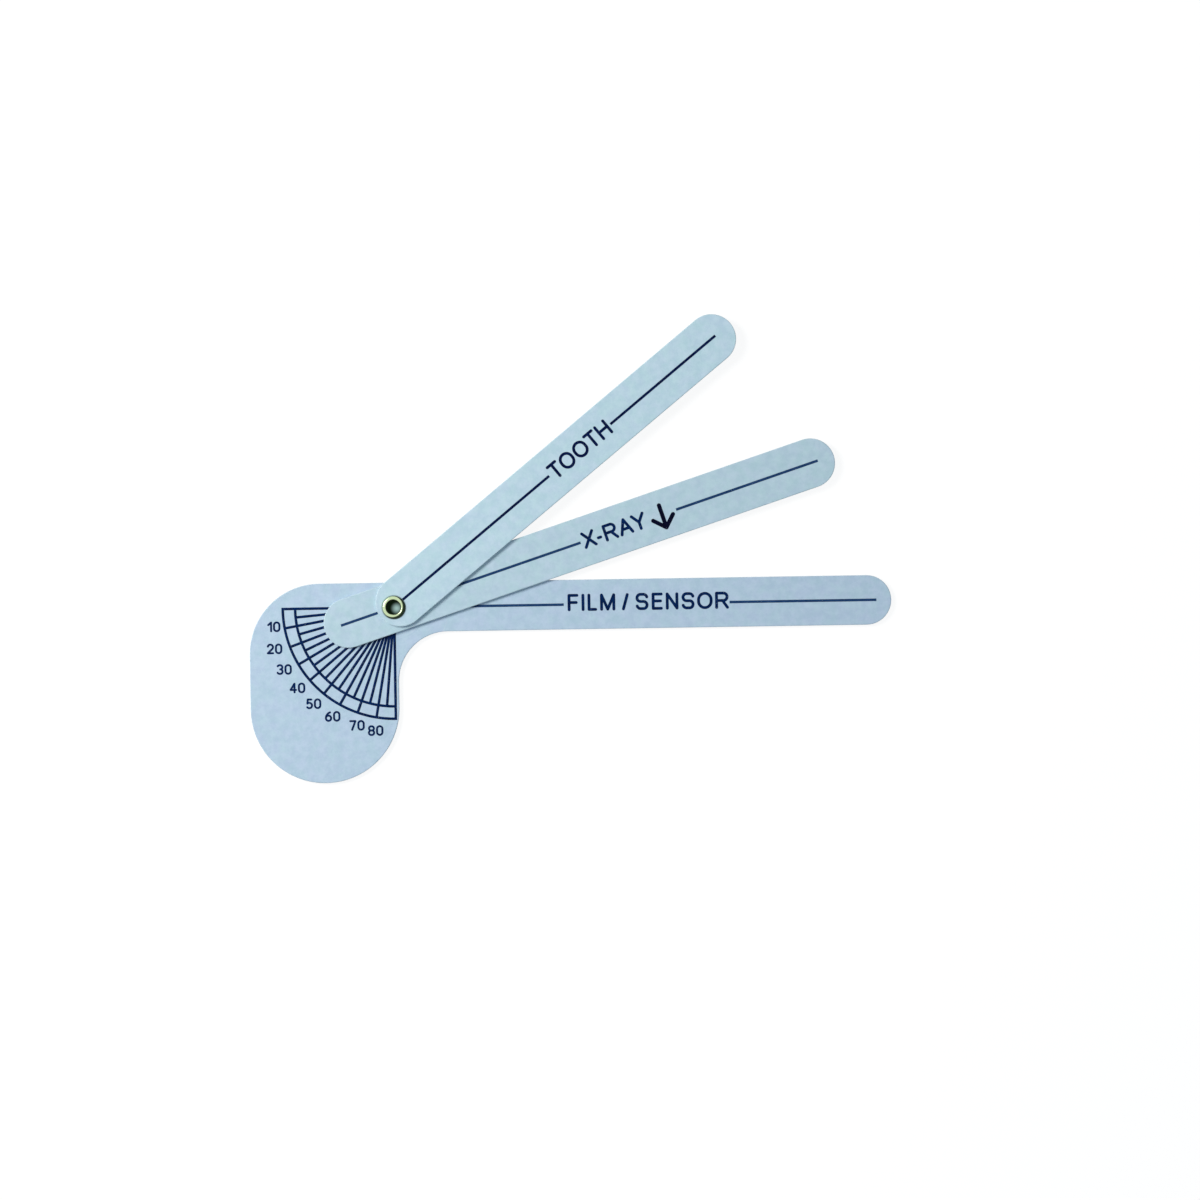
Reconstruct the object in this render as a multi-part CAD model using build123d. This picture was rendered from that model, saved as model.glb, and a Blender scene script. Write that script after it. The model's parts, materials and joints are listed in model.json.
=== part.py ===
from build123d import *
import os
from math import cos, radians, sin

# A three-armed pocket goniometer for dental radiography. Three thin plastic blades turn on one
# hollow brass eyelet: the head with its film / sensor arm at the back, the X-ray arm on it, and
# the tooth arm on top. Millimetres. The origin is on the eyelet's axis at the back face of the
# rear sheet, +X runs along the film arm and +Z points out of the printed side.

# ---- sheets ----
SHEET = 0.8                # thickness of every blade
ARM_WIDTH = 12.6
EDGE_ROUND = 0.15          # softened rim left by tumbling the die-cut blanks
FILM_REACH = 126.3         # pivot to the tip of the film arm
XRAY_REACH = 118.1
TOOTH_REACH = 111.7
HEEL_MARGIN = 1.2          # tooth blade behind the eyelet flange
NECK_RADIUS = 12.6         # hollow corner between the head and the film arm
HEAD_CORNER = 17.8         # big round corner above the scale's zero line

# ---- rest pose ----
XRAY_ANGLE = 18.2          # from the film arm, in degrees
TOOTH_ANGLE = 39.3

# ---- eyelet ----
BORE = 3.5                 # hole through the eyelet
BRASS = 0.25               # wall of the tube that it is pressed from
FLANGE_OD = 5.8            # front roll
CLINCH_OD = 5.4            # rear roll
PLATE_FIT = 0.03           # radial gap to the rear sheet, which the clinch holds fast
ARM_FIT = 0.08             # radial running gap to the two arms
FLANGE_LIFT = 0.05         # running gap between the flange and the top arm

# ---- printing ----
INK = 0.04                 # thickness of a printed layer
INK_AIR = 0.06             # air between the ink and the blade that slides over it
LINE = 0.66                # width of the scale's lines
ARM_LINE = 0.65            # width of the arms' centre lines
LINE_START = 0.1           # from the flange rim to the start of a centre line
POINTER_START = 1.45       # from the flange rim to the start of the tail's pointer
POINTER_MARGIN = 4.3       # from the pointer's end to the tip of the tail
FILM_LINE_MARGIN = 3.8     # from a centre line's end to the tip of its arm
XRAY_LINE_MARGIN = 4.3
TOOTH_LINE_MARGIN = 5.0

# ---- scale ----
SCALE_RADIUS = 28.3        # outer arc
SCALE_BAND = 3.15          # between the two arcs
SCALE_SWEEP = 90           # degrees, from the film arm's backward line
SCALE_STEP = 5
BAND_STEP = 10             # lines at these degrees cross the band
SCALE_START = 2.15         # from the flange rim to the inner end of the lines
TAIL_CLEARANCE = 6.65      # from the X-ray arm's tail to the inner arc that it points at

# ---- numerals ----
NUMERAL_OFFSET = 3.7       # from the outer arc to the middle of a numeral
NUMERAL_HEIGHT = 2.7
NUMERAL_LINE = 0.5
NUMERAL_SPREAD = 1.035     # the numerals stand this much further apart than their lines
NUMERAL_LEFT = 0.3         # how far the middle of their circle stands left of the pivot
NUMERAL_RISE = 0.4         # and how far above it
NUMERAL_STRAY = {10: 1.3, 70: 0.9}   # the two that stand right of that circle, and by how much

# ---- head, around the scale ----
HEAD_SIDE_MARGIN = 4.85    # from the numerals' circle to the left edge
HEAD_FOOT_MARGIN = 12.4    # from the numerals' circle to the foot, where the plate stays bare
HEAD_RIGHT_MARGIN = 0.61   # from the scale's last line to the right edge

# ---- legends ----
CAP_HEIGHT = 4.35
LEGEND_LINE = 0.73
LEGEND_GAP = 0.6           # between a legend or arrow and the centre line beside it
FILM_GAP_BEFORE = 1.0      # the same on the film arm, whose legend stands off its line's middle
FILM_GAP_AFTER = 0.2
FILM_LEGEND_AT = 64.55     # pivot to the middle of each legend
XRAY_LEGEND_AT = 59.2
TOOTH_LEGEND_AT = 61.75
FILM_LEGEND_RISE = 0.5     # how far the middle of each legend stands above the centre line
XRAY_LEGEND_RISE = 0.2
TOOTH_LEGEND_RISE = 0.1
ARROW_GAP = 1.15           # from the legend to the arrow beside it
ARROW_HALF = 2.95          # half the arrow's shaft
ARROW_RISE = -0.5          # how far the shaft's middle stands above the centre line
ARROW_BARB = 2.65          # each barb reaches this far back and to the side
ARROW_LINE = 1.05

# ---- places worked out from the sizes ----
HALF_WIDTH = ARM_WIDTH / 2
BORE_RADIUS = BORE / 2
BARREL_RADIUS = BORE_RADIUS + BRASS
FLANGE_RADIUS = FLANGE_OD / 2
CLINCH_RADIUS = CLINCH_OD / 2
TOOTH_HEEL = FLANGE_RADIUS + HEEL_MARGIN
SHEET_GAP = INK + INK_AIR
XRAY_Z = SHEET + SHEET_GAP
TOOTH_Z = XRAY_Z + SHEET + SHEET_GAP
FLANGE_Z = TOOTH_Z + SHEET + FLANGE_LIFT
INNER_RADIUS = SCALE_RADIUS - SCALE_BAND
XRAY_TAIL = INNER_RADIUS - TAIL_CLEARANCE
NUMERAL_RADIUS = SCALE_RADIUS + NUMERAL_OFFSET
HEAD_LEFT = -(NUMERAL_RADIUS + HEAD_SIDE_MARGIN)
HEAD_FOOT = -(NUMERAL_RADIUS + HEAD_FOOT_MARGIN)
HEAD_RIGHT = LINE / 2 + HEAD_RIGHT_MARGIN
FOOT_RADIUS = (HEAD_RIGHT - HEAD_LEFT) / 2


# ---- pen strokes of the plain sans-serif figures and capitals ----
# Each character is drawn in a cell that is 1 high, by the middle of the pen: its width, then its
# strokes. A list of points is a run of straight lines, and arc() is a round stretch.
def arc(x, y, radius, start, sweep):
    return (x, y, radius, start, sweep)


def ring(x, y, radius):
    return [arc(x, y, radius, 0, 180), arc(x, y, radius, 180, 180)]


def loop(width):
    """An upright oval: two half rounds joined by straight sides."""
    r = width / 2
    return [
        arc(r, 1 - r, r, 0, 180),
        [(0, 1 - r), (0, r)],
        arc(r, r, r, 180, 180),
        [(width, r), (width, 1 - r)],
    ]


def flat_ring(x, y, radius, flat):
    """A ring drawn out sideways: two half rounds joined by level lines."""
    return [
        arc(x, y, radius, 90, 180),
        [(x, y - radius), (x + flat, y - radius)],
        arc(x + flat, y, radius, 270, 180),
        [(x + flat, y + radius), (x, y + radius)],
    ]


GLYPHS = {
    "0": (0.62, loop(0.62)),
    "1": (0.32, [[(0, 0.72), (0.32, 1), (0.32, 0)]]),
    "2": (0.6, [arc(0.3, 0.7, 0.3, 165, -200), [(0.546, 0.528), (0, 0), (0.6, 0)]]),
    "3": (0.6, [arc(0.26, 0.76, 0.24, 150, -60), [(0.26, 1), (0.34, 1)],
                arc(0.34, 0.76, 0.24, 90, -180), arc(0.34, 0.26, 0.26, 90, -180),
                [(0.34, 0), (0.26, 0)], arc(0.26, 0.26, 0.26, 270, -60)]),
    "4": (0.62, [[(0.45, 0), (0.45, 1), (0, 0.28), (0.62, 0.28)]]),
    "5": (0.6, [[(0.54, 1), (0.12, 1), (0.071, 0.529)], arc(0.29, 0.31, 0.31, 135, -275)]),
    "6": (0.6, [arc(0.7, 0.3, 0.7, 180, -72)] + ring(0.3, 0.3, 0.3)),
    "7": (0.58, [[(0, 1), (0.58, 1), (0.2, 0)]]),
    "8": (0.6, flat_ring(0.26, 0.76, 0.24, 0.08) + flat_ring(0.26, 0.26, 0.26, 0.08)),
    "A": (0.80, [[(0, 0), (0.4, 1), (0.8, 0)], [(0.14, 0.34), (0.66, 0.34)]]),
    "E": (0.57, [[(0.57, 1), (0, 1), (0, 0), (0.57, 0)], [(0, 0.52), (0.52, 0.52)]]),
    "F": (0.56, [[(0, 0), (0, 1), (0.56, 1)], [(0, 0.5), (0.5, 0.5)]]),
    "H": (0.74, [[(0, 0), (0, 1)], [(0.74, 0), (0.74, 1)], [(0, 0.52), (0.74, 0.52)]]),
    "I": (0.0, [[(0, 0), (0, 1)]]),
    "L": (0.46, [[(0, 1), (0, 0), (0.46, 0)]]),
    "M": (0.86, [[(0, 0), (0, 1), (0.43, 0), (0.86, 1), (0.86, 0)]]),
    "N": (0.68, [[(0, 0), (0, 1), (0.68, 0), (0.68, 1)]]),
    "O": (0.88, loop(0.88)),
    "R": (0.76, [[(0.48, 0.48), (0, 0.48)], [(0, 0), (0, 1), (0.48, 1)],
                 arc(0.48, 0.74, 0.26, 90, -180), [(0.42, 0.48), (0.76, 0)]]),
    "S": (0.80, [arc(0.5, 0.75, 0.25, 15, 75), [(0.5, 1), (0.3, 1)],
                 arc(0.3, 0.75, 0.25, 90, 180), [(0.3, 0.5), (0.5, 0.5)],
                 arc(0.5, 0.25, 0.25, 90, -180), [(0.5, 0), (0.3, 0)],
                 arc(0.3, 0.25, 0.25, 270, -75)]),
    "T": (0.68, [[(0, 1), (0.68, 1)], [(0.34, 1), (0.34, 0)]]),
    "X": (0.74, [[(0, 0), (0.74, 1)], [(0, 1), (0.74, 0)]]),
    "Y": (0.80, [[(0, 1), (0.4, 0.46), (0.8, 1)], [(0.4, 0.46), (0.4, 0)]]),
    "-": (0.18, [[(0, 0.36), (0.18, 0.36)]]),
    "/": (0.28, [[(0, 0), (0.28, 1)]]),
}
STRAIGHT_SIDED = "EFHILMNR"
OPEN_SIDED = "ATXY"
SPACE = 0.29               # a word space, in cell heights
STRAIGHT_BEARING = 0.21    # space beside an upright stem, a round side and an open side
ROUND_BEARING = 0.17
OPEN_BEARING = 0.11


def fused(faces):
    """One sketch from many overlapping faces."""
    return Sketch() + faces


def band(path, width):
    """A line of even width with round ends, along an edge."""
    return SlotArc(path, width)


def pen_paths(strokes, height):
    """The straight and round edges of one character, its middle line height tall."""
    paths = []
    for stroke in strokes:
        if isinstance(stroke, list):
            points = [(x * height, y * height) for x, y in stroke]
            paths += [Line(a, b) for a, b in zip(points, points[1:])]
        else:
            x, y, radius, start, sweep = stroke
            paths.append(CenterArc((x * height, y * height), radius * height, start, sweep))
    return paths


def bearing(character):
    if character in STRAIGHT_SIDED:
        return STRAIGHT_BEARING
    if character in OPEN_SIDED:
        return OPEN_BEARING
    return ROUND_BEARING


def lettering(text, height, pen):
    """Flat characters centred on the origin, and the length of the whole text."""
    middle = height - pen
    glyphs = []
    x = 0
    for character in text:
        if character == " ":
            x += SPACE * middle
            continue
        width, strokes = GLYPHS[character]
        x += bearing(character) * middle
        shape = fused([band(path, pen) for path in pen_paths(strokes, middle)])
        glyphs.append(Pos(x, -middle / 2) * shape)
        x += (width + bearing(character)) * middle
    first = glyphs[0].bounding_box().min.X
    last = glyphs[-1].bounding_box().max.X
    glyphs = [Pos(-(first + last) / 2, 0) * glyph for glyph in glyphs]
    return glyphs, last - first


# ---- building blocks ----
def blade_outline(front, back):
    """A straight arm with round ends, from back behind the pivot to front ahead of it."""
    middle = (front - back) / 2
    return Pos(middle, 0) * SlotOverall(front + back, ARM_WIDTH)


def sheet_part(outline, hole_radius):
    """A blank cut from the sheet, with softened rims and the eyelet's hole."""
    blank = extrude(outline, SHEET)
    blank = fillet(blank.edges().filter_by(Plane.XY), EDGE_ROUND)
    return blank - Cylinder(hole_radius, SHEET, align=(Align.CENTER, Align.CENTER, Align.MIN))


def printed(sketches, z):
    """Ink on a face at height z."""
    return [Pos(0, 0, z) * extrude(sketch, INK) for sketch in sketches]


def centre_line(start, end):
    """A printed line with square ends, along the middle of an arm."""
    return Pos((start + end) / 2, 0) * Rectangle(end - start, ARM_LINE)


def turned(parts, angle):
    """Parts of an arm, turned from the film arm's direction to their place at rest."""
    return [Rot(0, 0, angle) * part for part in parts]


# ---- the three sheets ----
def plate_outline():
    """The head and the film arm: straight edges joined by five round stretches."""
    tip = FILM_REACH - HALF_WIDTH
    foot_x = (HEAD_LEFT + HEAD_RIGHT) / 2
    foot_y = HEAD_FOOT + FOOT_RADIUS
    corner = (HEAD_LEFT + HEAD_CORNER, HALF_WIDTH - HEAD_CORNER)
    neck = (HEAD_RIGHT + NECK_RADIUS, -HALF_WIDTH - NECK_RADIUS)
    edges = [
        Line((corner[0], HALF_WIDTH), (tip, HALF_WIDTH)),
        CenterArc((tip, 0), HALF_WIDTH, -90, 180),
        Line((tip, -HALF_WIDTH), (neck[0], -HALF_WIDTH)),
        CenterArc(neck, NECK_RADIUS, 90, 90),
        Line((HEAD_RIGHT, neck[1]), (HEAD_RIGHT, foot_y)),
        CenterArc((foot_x, foot_y), FOOT_RADIUS, 180, 180),
        Line((HEAD_LEFT, foot_y), (HEAD_LEFT, corner[1])),
        CenterArc(corner, HEAD_CORNER, 90, 90),
    ]
    return make_face(edges)


def film_sensor_plate():
    return [sheet_part(plate_outline(), BARREL_RADIUS + PLATE_FIT)]


def xray_blade():
    blade = sheet_part(blade_outline(XRAY_REACH, XRAY_TAIL), BARREL_RADIUS + ARM_FIT)
    return turned([Pos(0, 0, XRAY_Z) * blade], XRAY_ANGLE)


def tooth_blade():
    blade = sheet_part(blade_outline(TOOTH_REACH, TOOTH_HEEL), BARREL_RADIUS + ARM_FIT)
    return turned([Pos(0, 0, TOOTH_Z) * blade], TOOTH_ANGLE)


# ---- the eyelet ----
def roll(rim_radius, z, side):
    """Outer and inner half rounds of a rolled tube end; side is 1 in front and -1 behind."""
    centre = ((BORE_RADIUS + rim_radius) / 2, z)
    outer = (rim_radius - BORE_RADIUS) / 2
    start = 0 if side > 0 else 180
    return CenterArc(centre, outer, start, 180), CenterArc(centre, outer - BRASS, start, 180)


def pivot_eyelet():
    """A thin brass tube with a rolled end on each side, turned from its section."""
    flange_outer, flange_inner = roll(FLANGE_RADIUS, FLANGE_Z, 1)
    clinch_outer, clinch_inner = roll(CLINCH_RADIUS, 0, -1)
    section = make_face([
        Line((BORE_RADIUS, 0), (BORE_RADIUS, FLANGE_Z)),
        flange_outer,
        Line((FLANGE_RADIUS, FLANGE_Z), (FLANGE_RADIUS - BRASS, FLANGE_Z)),
        flange_inner,
        Line((BARREL_RADIUS, FLANGE_Z), (BARREL_RADIUS, 0)),
        clinch_inner,
        Line((CLINCH_RADIUS - BRASS, 0), (CLINCH_RADIUS, 0)),
        clinch_outer,
    ])
    return [revolve(Plane.XZ * section, Axis.Z)]


# ---- printing on the head ----
def scale_ray(angle, end):
    """One line of the scale, from near the eyelet outwards."""
    start = FLANGE_RADIUS + SCALE_START
    ray = Pos(-(start + end) / 2, 0) * Rectangle(end - start, LINE)
    return Rot(0, 0, angle) * ray


def scale_arc(radius):
    """A round line from the first ray to the last one."""
    return trace(CenterArc((0, 0), radius, 180, SCALE_SWEEP), LINE)


def scale_graduations():
    """Rays every few degrees up to the inner arc, of which every second one crosses the band."""
    faces = [scale_arc(SCALE_RADIUS), scale_arc(INNER_RADIUS)]
    for angle in range(0, SCALE_SWEEP + 1, SCALE_STEP):
        crosses_band = angle % BAND_STEP == 0
        end = SCALE_RADIUS + LINE / 2 if crosses_band else INNER_RADIUS
        faces.append(scale_ray(angle, end))
    return printed([fused(faces)], SHEET)


def scale_numerals():
    """Level figures on a circle, each a little further from the scale's middle than its line."""
    radius = NUMERAL_RADIUS
    middle = SCALE_SWEEP / 2
    glyphs = []
    for value in range(BAND_STEP, SCALE_SWEEP, BAND_STEP):
        angle = radians(180 + middle + (value - middle) * NUMERAL_SPREAD)
        aside = NUMERAL_STRAY.get(value, 0) - NUMERAL_LEFT
        place = Pos(aside + radius * cos(angle), NUMERAL_RISE + radius * sin(angle))
        digits, _ = lettering(str(value), NUMERAL_HEIGHT, NUMERAL_LINE)
        glyphs += [place * digit for digit in digits]
    return printed(glyphs, SHEET)


# ---- printing on the arms ----
def legend(text, at, rise, z, angle):
    """An arm's name as ink, and where it begins and ends along the arm."""
    glyphs, length = lettering(text, CAP_HEIGHT, LEGEND_LINE)
    glyphs = [Pos(at, rise) * glyph for glyph in glyphs]
    return turned(printed(glyphs, z), angle), at - length / 2, at + length / 2


def arm_lines(spans, z, angle):
    """The stretches of an arm's centre line, as ink."""
    return turned(printed([centre_line(*span) for span in spans], z), angle)


def film_markings():
    z = SHEET
    text, begins, ends = legend("FILM / SENSOR", FILM_LEGEND_AT, FILM_LEGEND_RISE, z, 0)
    start = FLANGE_RADIUS + LINE_START
    tip = FILM_REACH - FILM_LINE_MARGIN
    spans = [(start, begins - FILM_GAP_BEFORE), (ends + FILM_GAP_AFTER, tip)]
    return {"film_arm_legend": text, "film_arm_line": arm_lines(spans, z, 0)}


def tooth_markings():
    z = TOOTH_Z + SHEET
    text, begins, ends = legend("TOOTH", TOOTH_LEGEND_AT, TOOTH_LEGEND_RISE, z, TOOTH_ANGLE)
    start = FLANGE_RADIUS + LINE_START
    tip = TOOTH_REACH - TOOTH_LINE_MARGIN
    spans = [(start, begins - LEGEND_GAP), (ends + LEGEND_GAP, tip)]
    return {"tooth_arm_legend": text, "tooth_arm_line": arm_lines(spans, z, TOOTH_ANGLE)}


def beam_arrow(at):
    """An arrow across the arm, towards the film arm's side."""
    tip = (at, ARROW_RISE - ARROW_HALF)
    tail = (at, ARROW_RISE + ARROW_HALF)
    barbs = [(at + side * ARROW_BARB, tip[1] + ARROW_BARB) for side in (-1, 1)]
    return fused([band(Line(tip, end), ARROW_LINE) for end in [tail] + barbs])


def xray_markings():
    z = XRAY_Z + SHEET
    text, begins, ends = legend("X-RAY", XRAY_LEGEND_AT, XRAY_LEGEND_RISE, z, XRAY_ANGLE)
    half_arrow = ARROW_BARB + ARROW_LINE / 2
    arrow_at = ends + ARROW_GAP + half_arrow
    start = FLANGE_RADIUS + LINE_START
    tip = XRAY_REACH - XRAY_LINE_MARGIN
    spans = [(start, begins - LEGEND_GAP), (arrow_at + half_arrow + LEGEND_GAP, tip)]
    pointer = (POINTER_MARGIN - XRAY_TAIL, -FLANGE_RADIUS - POINTER_START)
    return {
        "x_ray_arm_legend": text,
        "x_ray_arm_line": arm_lines(spans, z, XRAY_ANGLE),
        "x_ray_arm_arrow": turned(printed([beam_arrow(arrow_at)], z), XRAY_ANGLE),
        "x_ray_tail_pointer": arm_lines([pointer], z, XRAY_ANGLE),
    }


# ---- write every node ----
def write_node(name, solids):
    export_step(Compound(children=solids), os.path.join("parts", name + ".step"))


NODES = {
    "film_sensor_plate": film_sensor_plate(),
    "x_ray_blade": xray_blade(),
    "tooth_blade": tooth_blade(),
    "pivot_eyelet": pivot_eyelet(),
    "scale_graduations": scale_graduations(),
    "scale_numerals": scale_numerals(),
    **film_markings(),
    **xray_markings(),
    **tooth_markings(),
}

os.makedirs("parts", exist_ok=True)
for node_name, node_solids in NODES.items():
    write_node(node_name, node_solids)
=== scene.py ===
# %% [markdown]
# A folding sheet goniometer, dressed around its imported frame.
# The real thing is a pocket tool for setting up dental X-rays: a plate with a printed quarter-circle scale,
# and two arms that turn over it. The three are thin pale-blue plastic sheets, held at one corner by a brass
# eyelet.
# Everything is flat, so its look comes from small things: the grain of the sheet, its rolled-over rims, the
# ink that stands a little proud, and the one bright ring of metal.
# The frame already holds every solid at its real size. This lesson keeps the sheets and the lettering, makes
# the scale and the eyelet anew, and gives each surface a material of its own.

import json
from math import cos, degrees, pi, radians, sin

import bmesh
import bpy
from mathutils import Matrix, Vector


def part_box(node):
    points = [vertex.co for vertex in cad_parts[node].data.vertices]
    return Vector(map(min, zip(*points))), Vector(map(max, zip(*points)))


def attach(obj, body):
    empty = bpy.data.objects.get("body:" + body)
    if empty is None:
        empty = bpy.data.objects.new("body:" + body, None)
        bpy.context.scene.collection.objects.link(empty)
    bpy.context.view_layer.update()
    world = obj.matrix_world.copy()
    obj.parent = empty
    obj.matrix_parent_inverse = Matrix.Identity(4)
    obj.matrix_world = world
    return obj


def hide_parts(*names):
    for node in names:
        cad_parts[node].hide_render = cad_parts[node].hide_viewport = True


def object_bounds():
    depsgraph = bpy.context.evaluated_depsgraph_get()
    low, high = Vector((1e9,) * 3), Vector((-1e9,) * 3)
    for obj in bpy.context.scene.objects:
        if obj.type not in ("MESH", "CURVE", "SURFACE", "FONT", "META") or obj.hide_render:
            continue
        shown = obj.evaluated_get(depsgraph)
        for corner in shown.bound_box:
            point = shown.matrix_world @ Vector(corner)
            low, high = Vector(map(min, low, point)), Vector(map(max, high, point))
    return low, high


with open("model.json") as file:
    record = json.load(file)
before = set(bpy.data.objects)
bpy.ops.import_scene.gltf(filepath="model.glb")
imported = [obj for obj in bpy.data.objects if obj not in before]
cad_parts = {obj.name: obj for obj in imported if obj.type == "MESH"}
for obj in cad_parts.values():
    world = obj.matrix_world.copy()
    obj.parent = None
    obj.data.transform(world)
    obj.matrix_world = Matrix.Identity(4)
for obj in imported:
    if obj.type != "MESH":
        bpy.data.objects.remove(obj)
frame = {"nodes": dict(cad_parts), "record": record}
cad_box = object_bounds()
MM = 0.001
print("nodes:", len(frame["nodes"]), "- CAD box in mm:", [round(v / MM, 2) for v in cad_box[1] - cad_box[0]])

# %% [markdown]
# Sizes that the rest of the script needs are read from the frame, so that nothing is fitted by eye.
# The eyelet's bore is a mount of the record, and the heights of the sheet, the print and the ground come from
# the boxes of their nodes.

# %% Measure the frame
bore_mount = next(m for m in frame["record"]["mounts"] if m["name"] == "eyelet_bore")
PIVOT = Vector(bore_mount["pos_m"])
BORE_RADIUS = bore_mount["dims"]["r_mm"] * MM
FLANGE_HEIGHT = bore_mount["dims"]["length_mm"] * MM
eyelet_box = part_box("pivot_eyelet")
plate_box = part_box("film_sensor_plate")
scale_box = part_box("scale_graduations")
GROUND = eyelet_box[0].z
sheet = plate_box[1].z - plate_box[0].z
print(f"bore {2 * BORE_RADIUS / MM:.2f} mm, sheet {sheet / MM:.2f} mm, lowest point {GROUND / MM:.3f} mm")

# %% [markdown]
# The tool is looked at from straight above, as a flat thing is laid out on a table and pictured.
# A long lens from nearly a metre up keeps all three sheets at one scale, and still shows a little of the
# eyelet's wall. The camera stands off the middle of the tool, so the tool sits left of and above the centre.

# %% Camera
CAMERA_HEIGHT = 0.85
SENSOR_WIDTH_MM = 36.0
NEAREST = 0.01
FARTHEST = 20.0
PICTURE_WIDTH = 304.8 * MM
TOOL_OFF_CENTRE = Vector((7.6 * MM, -13.3 * MM, 0))
TABLE_TURN = radians(-0.9)

middle = (cad_box[0] + cad_box[1]) / 2
camera_data = bpy.data.cameras.new("overhead_camera")
camera_data.sensor_width = SENSOR_WIDTH_MM
camera_data.lens = camera_data.sensor_width * (CAMERA_HEIGHT - plate_box[1].z) / PICTURE_WIDTH
camera_data.clip_start = NEAREST
camera_data.clip_end = FARTHEST
camera = bpy.data.objects.new("overhead_camera", camera_data)
camera.location = Vector((middle.x, middle.y, CAMERA_HEIGHT)) + TOOL_OFF_CENTRE
camera.rotation_euler = (0, 0, TABLE_TURN)
bpy.context.scene.collection.objects.link(camera)
bpy.context.scene.camera = camera
print(f"lens {camera_data.lens:.1f} mm, {PICTURE_WIDTH / MM:.0f} mm of table across the picture")

# %% [markdown]
# A few small helpers keep the node work readable. The first adds a node and fills its inputs: a plain value
# is written on the socket, and a socket of another node is linked to it. The rest do one sum each, on numbers
# or on vectors. They serve shaders and Geometry Nodes alike.

# %% Node helpers: nodes and sums
NUMBER_RESULTS = ("LENGTH", "DISTANCE", "DOT_PRODUCT")


def add(tree, kind, inputs=None, **settings):
    """A new node of this kind, with its settings, and its inputs set or linked."""
    node = tree.nodes.new(kind)
    for name, value in settings.items():
        setattr(node, name, value)
    for key, value in (inputs or {}).items():
        socket = node.inputs[key]
        if isinstance(value, bpy.types.NodeSocket):
            tree.links.new(value, socket)
        else:
            socket.default_value = value
    return node


def calc(tree, operation, *values, clamp=False):
    """The result of one Math node."""
    node = add(tree, "ShaderNodeMath", dict(enumerate(values)), operation=operation, use_clamp=clamp)
    return node.outputs[0]


def vec(tree, operation, *values):
    """The result of one Vector Math node: a vector, or a number where the operation gives one."""
    node = add(tree, "ShaderNodeVectorMath", dict(enumerate(values)), operation=operation)
    return node.outputs["Value" if operation in NUMBER_RESULTS else "Vector"]


def scaled(tree, vector, factor):
    """A vector times a number."""
    inputs = {0: vector, "Scale": factor}
    return add(tree, "ShaderNodeVectorMath", inputs, operation="SCALE").outputs["Vector"]


def axes_of(tree, vector):
    """The three parts of a vector, by name."""
    return add(tree, "ShaderNodeSeparateXYZ", {0: vector}).outputs


def vector_of(tree, **parts):
    """A vector from its parts X, Y and Z. A part that isn't given is 0."""
    return add(tree, "ShaderNodeCombineXYZ", parts).outputs[0]


def flattened(tree, place):
    """A place with its height taken out."""
    return vec(tree, "MULTIPLY", place, (1, 1, 0))


# %% [markdown]
# Four more helpers are what most surfaces here are made of: a soft ramp that turns a value into a mask, two
# ways to lay one colour on another, and noise.

# %% Node helpers: ramps, blends and noise
def ramped(tree, value, low, high, to_low=0.0, to_high=1.0):
    """The value carried from one range to another, with soft ends."""
    inputs = {"Value": value, "From Min": low, "From Max": high, "To Min": to_low, "To Max": to_high}
    return add(tree, "ShaderNodeMapRange", inputs, interpolation_type="SMOOTHSTEP").outputs["Result"]


def mixed(tree, factor, under, over, blend="MIX"):
    """The colour over, laid on the colour under by factor."""
    node = add(tree, "ShaderNodeMix", {0: factor, 6: under, 7: over}, data_type="RGBA", blend_type=blend)
    return node.outputs[2]


def tinted(tree, colour, mask, share, over):
    """A colour with another laid on it where the mask is, by at most this share."""
    return mixed(tree, calc(tree, "MULTIPLY", mask, share), colour, over)


def noise(tree, vector, scale, detail=2.0, roughness=0.5):
    """Soft noise from 0 to 1."""
    inputs = {"Vector": vector, "Scale": scale, "Detail": detail, "Roughness": roughness}
    return add(tree, "ShaderNodeTexNoise", inputs).outputs["Fac"]


# %% [markdown]
# The light is that of a plain light table: one lamp from the upper left, low enough to draw a thin dark line
# where one sheet steps down to the next, and an even cool surround that fills the rest.
# The lamp is 80 cm away, so the far ends of the arms are a little darker and bluer than the head.
# A lamp's power is worked out from the share of full light that it should give at the eyelet. Lamp and
# surround together give about 1, at which a colour renders as it is written. Rays from the camera, and those
# that mirrors and glass send on, see the surround as plain white.

# %% Lamp and surround
LAMP_AZIMUTH = radians(155)
LAMP_ELEVATION = radians(44)
LAMP_DISTANCE = 0.80
LAMP_SIZE = 0.36
LAMP_SHARE = 0.65
LAMP_COLOUR = (1.0, 0.965, 0.92)
SURROUND_SHARE = 0.34
SURROUND_COLOUR = (0.86, 1.0, 1.13, 1)
PLAIN_WHITE = (1, 1, 1, 1)


def seen_as_it_is(tree):
    """1 for the rays that show a thing to the camera, straight or by way of a mirror or glass."""
    path = add(tree, "ShaderNodeLightPath").outputs
    seen = calc(tree, "MAXIMUM", path["Is Camera Ray"], path["Is Glossy Ray"])
    return calc(tree, "MAXIMUM", seen, path["Is Transmission Ray"])


level_reach = cos(LAMP_ELEVATION)
aim = Vector((cos(LAMP_AZIMUTH) * level_reach, sin(LAMP_AZIMUTH) * level_reach, sin(LAMP_ELEVATION)))
lamp_data = bpy.data.lights.new("upper_left_lamp", "AREA")
lamp_data.shape = "DISK"
lamp_data.size = LAMP_SIZE
lamp_data.color = LAMP_COLOUR
lamp_data.energy = LAMP_SHARE * pi**2 * LAMP_DISTANCE**2 / sin(LAMP_ELEVATION)
lamp = bpy.data.objects.new("upper_left_lamp", lamp_data)
lamp.location = PIVOT + aim * LAMP_DISTANCE
lamp.rotation_euler = aim.to_track_quat("Z", "Y").to_euler()
bpy.context.scene.collection.objects.link(lamp)

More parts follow.
